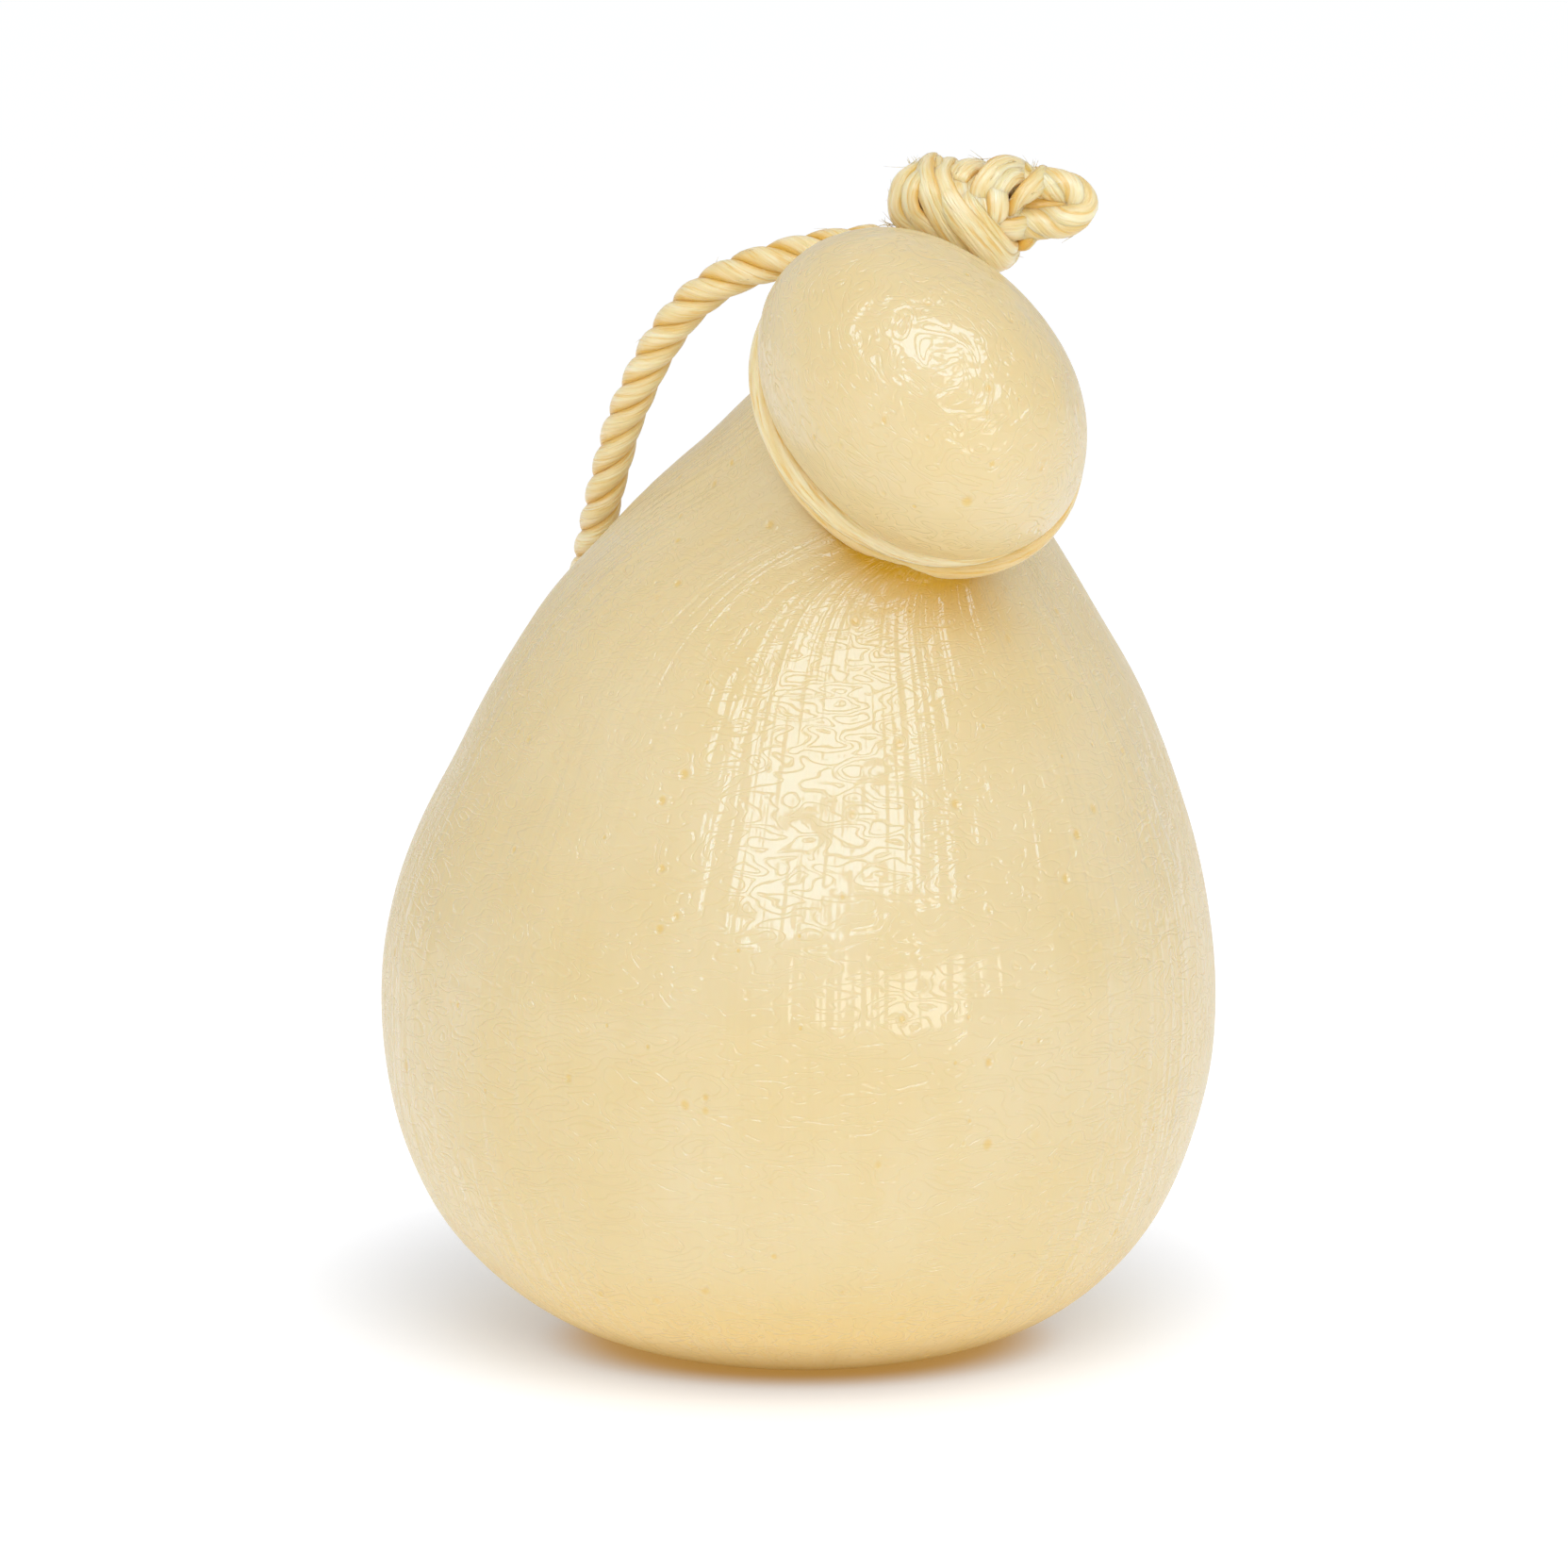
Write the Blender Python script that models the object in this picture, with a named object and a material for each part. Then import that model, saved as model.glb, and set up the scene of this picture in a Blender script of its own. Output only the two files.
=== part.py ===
"""A caciocavallo: a pear of stretched-curd cheese, tied at the neck with a rope that it hangs by.

The cheese is one loft of oval sections. They lie level in the belly, then fan out round a place
near the front, so that the top folds over to the front and the tied head looks forward.
Metres, +Z up, -Y to the front. The origin is the middle of the small flat spot that it stands on.
"""

import math
from collections import namedtuple

import bmesh
import bpy
from mathutils import Vector

COLLECTION = "caciocavallo"
CUTTERS = "cutters"

# The belly: level round sections, a superellipse below its widest height and a power of the
# height above it.
BELLY_RADIUS = 0.0698
BELLY_HEIGHT = 0.0640
BELLY_POWER = 2.66
FLAT_RADIUS = 0.020
TAPER_LENGTH = 0.1056
TAPER_POWER = 1.75
BELLY_TOP = 0.095
BELLY_SHIFT = -0.0005
SHOULDER_SHIFT = 0.0018
BASE_HEIGHTS = (0.0, 0.0006, 0.0016, 0.0032, 0.0055, 0.0085, 0.0120, 0.0160)
BELLY_STEP = 0.005

# The shoulder and the neck: the front and back of each section as (y, z), its middle's x and its
# half width. The last one is the neck, where the rope ties it.
Station = namedtuple("Station", "front back x half_width")
STATIONS = (
    Station((-0.0595, 0.1000), (0.0596, 0.1000), 0.0018, 0.0594),
    Station((-0.0556, 0.1095), (0.0549, 0.1115), 0.0023, 0.0543),
    Station((-0.0513, 0.1185), (0.0489, 0.1240), 0.0028, 0.0480),
    Station((-0.0468, 0.1263), (0.0400, 0.1373), 0.0037, 0.0404),
    Station((-0.0430, 0.1325), (0.0279, 0.1498), 0.0058, 0.0328),
    Station((-0.0403, 0.1370), (0.0127, 0.1609), 0.0100, 0.0262),
    Station((-0.0386, 0.1397), (-0.0040, 0.1713), 0.0146, 0.0220),
    Station((-0.0375, 0.1410), (-0.0209, 0.1804), 0.0183, 0.0208),
)
STATION_STEPS = 3
NECK_SKEW = -0.0027

# The head: an egg whose long side runs from upper left to lower right, looking up a little.
HEAD_HEADING = math.radians(5.2)
HEAD_RISE = math.radians(20.5)
HEAD_CENTRE = 0.0120
HEAD_DEPTH = 0.025
HEAD_RADIUS = 0.0262
HEAD_SKEW = -0.00345
HEAD_START = 0.0012
HEAD_NECK_SECTIONS = 6
HEAD_SECTIONS = 12
SECTION_POINTS = 56

# The rope, and the ring that it makes round the neck.
ROPE_DIAMETER = 0.0065
TIE_RADIUS = 0.0031
EYE_RADIUS = 0.0028
GAP = 0.0003
RING_GROWTH = 0.0027
RING_POINTS = 44
TUBE_SIDES = 3
CORD_SIDES = 2
ROPE_STEP = 0.0090
KNOT_STEP = 0.0034
ROUTE_STEPS = 12

# The knot on top of the ring: two turns that wrap over each other, and a small eye to the right.
FRONT_WRAP = (
    (0.0335, -0.0140, 0.1870), (0.0330, -0.0185, 0.1860), (0.0305, -0.0220, 0.1870),
    (0.0275, -0.0240, 0.1905), (0.0243, -0.0240, 0.1945), (0.0217, -0.0222, 0.1980),
    (0.0213, -0.0180, 0.1992), (0.0232, -0.0140, 0.1980), (0.0248, -0.0130, 0.1940),
)
LEFT_WRAP = (
    (0.0240, -0.0165, 0.1835), (0.0210, -0.0200, 0.1870), (0.0183, -0.0218, 0.1905),
    (0.0172, -0.0215, 0.1940), (0.0178, -0.0185, 0.1970), (0.0205, -0.0145, 0.1972),
    (0.0245, -0.0125, 0.1950), (0.0290, -0.0140, 0.1920),
)
EYE = (
    (0.0270, -0.0150, 0.1915), (0.0330, -0.0178, 0.1902), (0.0382, -0.0190, 0.1903),
    (0.0425, -0.0195, 0.1907), (0.0452, -0.0190, 0.1930), (0.0434, -0.0185, 0.1957),
    (0.0387, -0.0185, 0.1966), (0.0345, -0.0175, 0.1966), (0.0300, -0.0150, 0.1950),
)
CROSS_WRAP = (
    (0.0345, -0.0160, 0.1985), (0.0325, -0.0212, 0.1974), (0.0304, -0.0222, 0.1945),
    (0.0297, -0.0200, 0.1915), (0.0285, -0.0160, 0.1905),
)
EXIT_LENGTH = 0.009

# The free rope: an arch to the left, down behind the cheese, a turn low on its back, and up again.
ROPE_ROUTE = (
    (0.0133, -0.0150, 0.1879), (0.0075, -0.0146, 0.1873), (0.0008, -0.0135, 0.1859),
    (-0.0058, -0.0115, 0.1834), (-0.0120, -0.0085, 0.1804), (-0.0173, -0.0050, 0.1765),
    (-0.0213, -0.0010, 0.1717), (-0.0246, 0.0030, 0.1662), (-0.0277, 0.0075, 0.1594),
    (-0.0299, 0.0115, 0.1537), (-0.0316, 0.0155, 0.1474), (-0.0332, 0.0197, 0.1411),
    (-0.0346, 0.0251, 0.1345), (-0.0363, 0.0324, 0.1262), (-0.0377, 0.0396, 0.1170),
    (-0.0385, 0.0457, 0.1080), (-0.0381, 0.0519, 0.0980), (-0.0352, 0.0586, 0.0886),
    (-0.0283, 0.0652, 0.0818), (-0.0185, 0.0692, 0.0792), (-0.0087, 0.0704, 0.0819),
    (-0.0014, 0.0685, 0.0892), (0.0018, 0.0646, 0.0990), (0.0044, 0.0600, 0.1100),
    (0.0068, 0.0550, 0.1210), (0.0090, 0.0484, 0.1320), (0.0110, 0.0396, 0.1430),
    (0.0130, 0.0282, 0.1538), (0.0149, 0.0150, 0.1636), (0.0165, 0.0042, 0.1712),
    (0.0178, -0.0036, 0.1780), (0.0188, -0.0082, 0.1850),
)

# Colours, linear, with roughness.
CHEESE_COLOUR = (0.80, 0.65, 0.38)
CHEESE_ROUGHNESS = 0.38
ROPE_COLOUR = (0.82, 0.68, 0.36)
ROPE_ROUGHNESS = 0.75


def clear_scene():
    for item in list(bpy.data.objects):
        bpy.data.objects.remove(item, do_unlink=True)


def collection(name):
    made = bpy.data.collections.new(name)
    bpy.context.scene.collection.children.link(made)
    return made


def material(name, colour, roughness):
    made = bpy.data.materials.new(name)
    made.use_nodes = True
    shader = made.node_tree.nodes["Principled BSDF"]
    shader.inputs["Base Color"].default_value = (*colour, 1.0)
    shader.inputs["Roughness"].default_value = roughness
    shader.inputs["Metallic"].default_value = 0.0
    made.diffuse_color = (*colour, 1.0)
    return made


Section = namedtuple("Section", "centre tilt heading wide deep skew")


def belly_radius(height):
    if height < BELLY_HEIGHT:
        base_drop = (1 - (FLAT_RADIUS / BELLY_RADIUS) ** BELLY_POWER) ** (1 / BELLY_POWER)
        drop = base_drop * (BELLY_HEIGHT - height) / BELLY_HEIGHT
        return BELLY_RADIUS * (1 - drop**BELLY_POWER) ** (1 / BELLY_POWER)
    return BELLY_RADIUS * (1 - ((height - BELLY_HEIGHT) / TAPER_LENGTH) ** TAPER_POWER)


def belly_section(height):
    """A level round section; its middle drifts left to the belly, then right to the shoulder."""
    if height < BELLY_HEIGHT:
        share = height / BELLY_HEIGHT
        x = BELLY_SHIFT * (3 - 2 * share) * share**2
    else:
        share = (height - BELLY_HEIGHT) / (STATIONS[0].front[1] - BELLY_HEIGHT)
        x = BELLY_SHIFT + (SHOULDER_SHIFT - BELLY_SHIFT) * share**2
    radius = belly_radius(height)
    return Section(Vector((x, 0.0, height)), 0.0, 0.0, radius, radius, 0.0)


def station_section(number):
    station = STATIONS[number]
    share = number / (len(STATIONS) - 1)
    depth = station.back[0] - station.front[0]
    rise = station.back[1] - station.front[1]
    y = (station.front[0] + station.back[0]) / 2
    z = (station.front[1] + station.back[1]) / 2
    return Section(
        centre=Vector((station.x, y, z)),
        tilt=math.atan2(rise, depth),
        heading=HEAD_HEADING * share**2,
        wide=station.half_width,
        deep=math.hypot(depth, rise) / 2,
        skew=NECK_SKEW * share**3,
    )


def head_section(distance):
    """The head's section at a distance from the neck, turned from the neck's tilt to its own."""
    neck = station_section(len(STATIONS) - 1)
    upright = math.pi / 2 - HEAD_RISE
    axis = Vector(
        (
            math.sin(HEAD_HEADING) * math.sin(upright),
            -math.cos(HEAD_HEADING) * math.sin(upright),
            math.cos(upright),
        )
    )
    share = min(distance / HEAD_CENTRE, 1.0)
    along = min(max((distance - HEAD_CENTRE) / HEAD_DEPTH, -1.0), 1.0)
    size = math.sqrt(1 - along**2)
    return Section(
        centre=neck.centre + axis * distance,
        tilt=neck.tilt + (upright - neck.tilt) * share,
        heading=HEAD_HEADING,
        wide=HEAD_RADIUS * size,
        deep=HEAD_RADIUS * size,
        skew=HEAD_SKEW * size,
    )


def curve_value(a, b, c, d, t):
    """The Catmull-Rom curve between b and c."""
    bend = (2 * a - 5 * b + 4 * c - d) * t**2 + (3 * b - a - 3 * c + d) * t**3
    return 0.5 * (2 * b + (c - a) * t + bend)


def cheese_sections():
    heights = list(BASE_HEIGHTS)
    while heights[-1] + BELLY_STEP < BELLY_TOP:
        heights.append(heights[-1] + BELLY_STEP)
    sections = [belly_section(height) for height in heights]
    keys = [belly_section(BELLY_TOP)]
    keys += [station_section(number) for number in range(len(STATIONS))]
    keys.append(head_section(HEAD_CENTRE / 2))
    sections.append(keys[0])
    for around in zip(keys, keys[1:], keys[2:], keys[3:]):
        for step in range(STATION_STEPS):
            t = step / STATION_STEPS
            sections.append(Section(*(curve_value(*values, t) for values in zip(*around))))
    sections.append(keys[-2])
    reach = HEAD_CENTRE - HEAD_START
    for i in range(HEAD_NECK_SECTIONS):
        sections.append(head_section(HEAD_START + reach * i / HEAD_NECK_SECTIONS))
    for i in range(HEAD_SECTIONS):
        turn = math.pi / 2 * i / HEAD_SECTIONS
        sections.append(head_section(HEAD_CENTRE + HEAD_DEPTH * math.sin(turn)))
    return sections


def section_axes(section):
    """The section's own directions: to the right, and to the back and up."""
    heading, tilt = section.heading, section.tilt
    right = Vector((math.cos(heading), math.sin(heading), 0.0))
    back = Vector(
        (
            -math.sin(heading) * math.cos(tilt),
            math.cos(heading) * math.cos(tilt),
            math.sin(tilt),
        )
    )
    return right, back


def oval_point(section, angle, grow=0.0):
    """A point of the section's oval, which may be grown outward."""
    right, back = section_axes(section)
    wide, deep = section.wide + grow, section.deep + grow
    across = wide * math.cos(angle) + section.skew * math.sin(angle)
    along = section.skew * math.cos(angle) + deep * math.sin(angle)
    return section.centre + right * across + back * along


def add_cheese(parts, look):
    mesh = bmesh.new()
    turns = [2 * math.pi * i / SECTION_POINTS for i in range(SECTION_POINTS)]
    rings = [
        [mesh.verts.new(oval_point(section, turn)) for turn in turns]
        for section in cheese_sections()
    ]
    for low, high in zip(rings, rings[1:]):
        for i in range(SECTION_POINTS):
            j = (i + 1) % SECTION_POINTS
            mesh.faces.new((low[i], low[j], high[j], high[i]))
    mesh.faces.new(rings[0][::-1])
    tip = mesh.verts.new(head_section(HEAD_CENTRE + HEAD_DEPTH).centre)
    for i in range(SECTION_POINTS):
        mesh.faces.new((rings[-1][i], rings[-1][(i + 1) % SECTION_POINTS], tip))
    bmesh.ops.recalc_face_normals(mesh, faces=mesh.faces)
    data = bpy.data.meshes.new("cheese")
    mesh.to_mesh(data)
    mesh.free()
    data.shade_smooth()
    data.materials.append(look)
    made = bpy.data.objects.new("cheese", data)
    parts.objects.link(made)
    return made


def smooth_route(route, step):
    """Evenly spaced points on the Catmull-Rom curve through the route's points."""
    points = [Vector(point) for point in route]
    points = [2 * points[0] - points[1], *points, 2 * points[-1] - points[-2]]
    fine = []
    for around in zip(points, points[1:], points[2:], points[3:]):
        fine += [curve_value(*around, i / ROUTE_STEPS) for i in range(ROUTE_STEPS)]
    fine.append(points[-2])
    travelled = [0.0]
    for near, far in zip(fine, fine[1:]):
        travelled.append(travelled[-1] + (far - near).length)
    count = max(round(travelled[-1] / step), 2)
    even = []
    i = 0
    for n in range(count + 1):
        wanted = travelled[-1] * n / count
        while i < len(fine) - 2 and travelled[i + 1] < wanted:
            i += 1
        share = (wanted - travelled[i]) / (travelled[i + 1] - travelled[i])
        even.append(fine[i].lerp(fine[i + 1], share))
    return even


def add_tube(group, name, points, radius, sides, closed=False):
    curve = bpy.data.curves.new(name, "CURVE")
    curve.dimensions = "3D"
    curve.bevel_depth = radius
    curve.bevel_resolution = sides
    curve.use_fill_caps = not closed
    spline = curve.splines.new("POLY")
    spline.points.add(len(points) - 1)
    for target, point in zip(spline.points, points):
        target.co = (*point, 1.0)
    spline.use_cyclic_u = closed
    made = bpy.data.objects.new(name, curve)
    group.objects.link(made)
    return made


def meshed(group, tube):
    """The tube as a mesh object with its caps welded, in place of the curve."""
    name = tube.name
    evaluated = tube.evaluated_get(bpy.context.evaluated_depsgraph_get())
    data = bpy.data.meshes.new_from_object(evaluated)
    welder = bmesh.new()
    welder.from_mesh(data)
    bmesh.ops.remove_doubles(welder, verts=welder.verts, dist=1e-6)
    bmesh.ops.recalc_face_normals(welder, faces=welder.faces)
    welder.to_mesh(data)
    welder.free()
    made = bpy.data.objects.new(name + "_mesh", data)
    made.matrix_world = tube.matrix_world
    group.objects.link(made)
    bpy.data.objects.remove(tube, do_unlink=True)
    return made


def ring_points():
    """The tie's centreline: an oval round the neck."""
    neck = station_section(len(STATIONS) - 1)
    turns = [2 * math.pi * i / RING_POINTS for i in range(RING_POINTS)]
    return [oval_point(neck, turn, RING_GROWTH) for turn in turns]


def cut_groove(cheese, cutters):
    """The tie presses a groove into the neck, and stays a hair clear of it."""
    cutter = add_tube(cutters, "groove", ring_points(), TIE_RADIUS + GAP, TUBE_SIDES, closed=True)
    bpy.context.view_layer.update()
    cutter = meshed(cutters, cutter)
    cutter.hide_render = True
    cutter.display_type = "WIRE"
    groove = cheese.modifiers.new("groove", "BOOLEAN")
    groove.operation = "DIFFERENCE"
    groove.object = cutter


def rope_points():
    """The free rope's centreline, from the left of the knot to its back."""
    return smooth_route(ROPE_ROUTE, ROPE_STEP)


def exit_stub(end, neighbour):
    """The rope's last stretch inside the knot, in line with the free rope and a gap short of it."""
    inward = (end - neighbour).normalized()
    return [end + inward * GAP / 2, end + inward * EXIT_LENGTH]


def add_tie(parts, cutters, look):
    """The ring, the knot and its eye, as one solid."""
    tubes = [add_tube(cutters, "ring", ring_points(), TIE_RADIUS, TUBE_SIDES, closed=True)]
    wraps = (
        ("front_wrap", FRONT_WRAP, TIE_RADIUS),
        ("left_wrap", LEFT_WRAP, TIE_RADIUS),
        ("eye", EYE, EYE_RADIUS),
        ("cross_wrap", CROSS_WRAP, EYE_RADIUS),
    )
    for name, route, radius in wraps:
        tubes.append(add_tube(cutters, name, smooth_route(route, KNOT_STEP), radius, TUBE_SIDES))
    rope = rope_points()
    for name, end, neighbour in (("left_exit", rope[0], rope[1]), ("back_exit", rope[-1], rope[-2])):
        tubes.append(add_tube(cutters, name, exit_stub(end, neighbour), TIE_RADIUS, TUBE_SIDES))
    bpy.context.view_layer.update()
    meshes = [meshed(cutters, tube) for tube in tubes]
    tie, others = meshes[0], meshes[1:]
    tie.name = "rope_tie"
    cutters.objects.unlink(tie)
    parts.objects.link(tie)
    pieces = bpy.data.collections.new("tie_pieces")
    for other in others:
        pieces.objects.link(other)
    union = tie.modifiers.new("union", "BOOLEAN")
    union.operation = "UNION"
    union.operand_type = "COLLECTION"
    union.collection = pieces
    union.use_self = True
    bpy.context.view_layer.update()
    evaluated = tie.evaluated_get(bpy.context.evaluated_depsgraph_get())
    joined = bpy.data.meshes.new_from_object(evaluated)
    tie.modifiers.clear()
    tie.data = joined
    for other in others:
        bpy.data.objects.remove(other, do_unlink=True)
    bpy.data.collections.remove(pieces)
    joined.materials.clear()
    joined.materials.append(look)
    joined.shade_smooth()


def add_hanging_rope(parts, look):
    points = rope_points()
    for end, neighbour in ((0, 1), (-1, -2)):
        points[end] += (points[neighbour] - points[end]).normalized() * GAP / 2
    rope = add_tube(parts, "hanging_rope", points, ROPE_DIAMETER / 2, CORD_SIDES)
    rope.data.materials.append(look)


def main():
    clear_scene()
    parts = collection(COLLECTION)
    cutters = collection(CUTTERS)
    cheese_look = material("cheese_rind", CHEESE_COLOUR, CHEESE_ROUGHNESS)
    rope_look = material("straw_rope", ROPE_COLOUR, ROPE_ROUGHNESS)
    cheese = add_cheese(parts, cheese_look)
    cut_groove(cheese, cutters)
    add_tie(parts, cutters, rope_look)
    add_hanging_rope(parts, rope_look)


main()
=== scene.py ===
"""The looks of a caciocavallo: a waxy pear of stretched-curd cheese, tied and hung by a straw rope.

Metres, +Z up, -Y to the front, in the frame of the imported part.
"""

import math
import random

import bpy
import numpy as np
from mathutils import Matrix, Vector, kdtree, noise


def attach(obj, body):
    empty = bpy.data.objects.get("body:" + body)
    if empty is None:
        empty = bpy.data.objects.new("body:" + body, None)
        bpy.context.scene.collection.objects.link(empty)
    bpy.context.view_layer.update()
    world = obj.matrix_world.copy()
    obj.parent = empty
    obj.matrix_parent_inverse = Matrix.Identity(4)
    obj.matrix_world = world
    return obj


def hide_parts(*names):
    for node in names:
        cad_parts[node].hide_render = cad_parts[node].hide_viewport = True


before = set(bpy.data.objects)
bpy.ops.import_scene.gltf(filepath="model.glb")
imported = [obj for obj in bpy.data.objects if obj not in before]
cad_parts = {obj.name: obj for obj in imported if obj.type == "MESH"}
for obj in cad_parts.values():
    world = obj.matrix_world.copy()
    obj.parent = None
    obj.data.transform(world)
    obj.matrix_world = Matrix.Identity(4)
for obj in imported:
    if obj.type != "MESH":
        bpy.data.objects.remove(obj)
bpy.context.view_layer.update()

# The camera, at the photograph's angle.
CAMERA_ELEVATION = math.radians(10.0)
CAMERA_DISTANCE = 1.2
CAMERA_AIM = Vector((-0.0030, 0.0, 0.0947))
CAMERA_LENS = 165.1
SENSOR_WIDTH = 36.0

# The cheese's form, as in the part's source.
BELLY_RADIUS = 0.0698
BELLY_HEIGHT = 0.0640
BELLY_POWER = 2.66
FLAT_RADIUS = 0.020
TAPER_LENGTH = 0.1056
TAPER_POWER = 1.75
BELLY_TOP = 0.095
BELLY_SHIFT = -0.0005
SHOULDER_SHIFT = 0.0018
# Front (y, z), back (y, z), middle x and half width of each section up to the neck.
STATIONS = (
    ((-0.0595, 0.1000), (0.0596, 0.1000), 0.0018, 0.0594),
    ((-0.0556, 0.1095), (0.0549, 0.1115), 0.0023, 0.0543),
    ((-0.0513, 0.1185), (0.0489, 0.1240), 0.0028, 0.0480),
    ((-0.0468, 0.1263), (0.0400, 0.1373), 0.0037, 0.0404),
    ((-0.0430, 0.1325), (0.0279, 0.1498), 0.0058, 0.0328),
    ((-0.0403, 0.1370), (0.0127, 0.1609), 0.0100, 0.0262),
    ((-0.0386, 0.1397), (-0.0040, 0.1713), 0.0146, 0.0220),
    ((-0.0375, 0.1410), (-0.0209, 0.1804), 0.0183, 0.0208),
)
NECK_SKEW = -0.0027
HEAD_HEADING = math.radians(5.2)
HEAD_RISE = math.radians(20.5)
HEAD_CENTRE = 0.0120
HEAD_DEPTH = 0.025
HEAD_RADIUS = 0.0262
HEAD_SKEW = -0.00345

# The fine mesh of the cheese.
CHEESE_COLUMNS = 352
CHEESE_ROWS = 268
NECK_ROW_DENSITY = 1.6
NECK_ROW_REACH = 0.012
FORM_SMOOTHING = 0.0035
FORM_STEP = 0.0005
# The smoothing leaves out the form's two ends, and most of the neck.
SMOOTHING_START = 0.012
SMOOTHING_FADE = 0.02
NECK_KEPT = 0.6
NECK_KEPT_REACH = 0.008
# How the skin's patterns run: long on the body, and in a swirl on the head.
GRAIN_RADIUS = 0.05
HEAD_EDGE = 0.003
HEAD_SWIRL = 0.35
HEAD_SQUEEZE = 0.78
BODY_GRAIN = 0.10
# The curd's lumps, its folds, and the pleats that gather below the neck, most at its right.
LUMP_HEIGHT, LUMP_CELL = 0.0009, 0.048
SMALL_LUMP_HEIGHT, SMALL_LUMP_CELL = 0.00035, 0.017
FOLD_HEIGHT, FOLD_CELL = 0.00008, 0.0046
FINE_FOLD_HEIGHT, FINE_FOLD_CELL = 0.00008, 0.0022
PLEAT_HEIGHT = 0.0006
PLEAT_REACH = 0.022
PLEAT_LEAST = 0.25
PLEAT_RIGHT = (0.022, 0.040)
STILL_HEIGHT = 0.014
# Where the hand-shaped curd swells or sinks: middle, reach and height.
SWELLS = (
    ((0.0150, -0.0360, 0.1900), 0.016, 0.0009),
    ((-0.0540, -0.0150, 0.0230), 0.016, -0.0008),
    ((0.0560, -0.0150, 0.0330), 0.014, -0.0006),
)

# The golden shade painted in the crease below the tie, and the wider one painted below the head's
# front right.
CREASE_SHADE, CREASE_REACH = 0.9, 0.0012
HEAD_SHADE, HEAD_SHADE_REACH = 0.85, 0.0090
HEAD_SHADE_FRONT = (0.026, 0.040)
HEAD_SHADE_RIGHT = (-0.003, 0.013)
SHADE_EDGE = 0.0015

# The tie round the neck.
RING_GROWTH = 0.0027
RING_PRESS = 0.0029
RING_SIDE = 0.0021
RING_SOFTNESS = 0.0005
RING_REACH = 0.011
RING_POINTS = 300
RING_SEARCH_POINTS = 1600
RING_LAY = 0.30
RING_TURN = 1.65
RING_STRANDS = {
    "offset": 0.0017, "half_width": 0.0022, "half_height": 0.0018, "seed": 10, "core": 0.45
}

# The rope.
ROPE_LAY = 0.0203
ROPE_PHASE = 0.4
ROPE_STRANDS = {"offset": 0.00175, "half_width": 0.0019, "half_height": 0.0015, "seed": 0}
ROPE_ROUTE = (
    (0.0133, -0.0150, 0.1879), (0.0075, -0.0146, 0.1873), (0.0008, -0.0135, 0.1859),
    (-0.0058, -0.0115, 0.1834), (-0.0120, -0.0085, 0.1804), (-0.0173, -0.0050, 0.1765),
    (-0.0213, -0.0010, 0.1717), (-0.0246, 0.0030, 0.1662), (-0.0277, 0.0075, 0.1594),
    (-0.0299, 0.0115, 0.1537), (-0.0316, 0.0155, 0.1474), (-0.0332, 0.0197, 0.1411),
    (-0.0346, 0.0251, 0.1345), (-0.0363, 0.0324, 0.1262), (-0.0377, 0.0396, 0.1170),
    (-0.0385, 0.0457, 0.1080), (-0.0381, 0.0519, 0.0980), (-0.0352, 0.0586, 0.0886),
    (-0.0283, 0.0652, 0.0818), (-0.0185, 0.0692, 0.0792), (-0.0087, 0.0704, 0.0819),
    (-0.0014, 0.0685, 0.0892), (0.0018, 0.0646, 0.0990), (0.0044, 0.0600, 0.1100),
    (0.0068, 0.0550, 0.1210), (0.0090, 0.0484, 0.1320), (0.0110, 0.0396, 0.1430),
    (0.0130, 0.0282, 0.1538), (0.0149, 0.0150, 0.1636), (0.0165, 0.0042, 0.1712),
    (0.0178, -0.0036, 0.1780), (0.0188, -0.0082, 0.1850),
)
ROPE_STEP = 0.0006
EXIT_DIP = 0.0012
EXIT_REACH = (0.004, 0.030)

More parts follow.
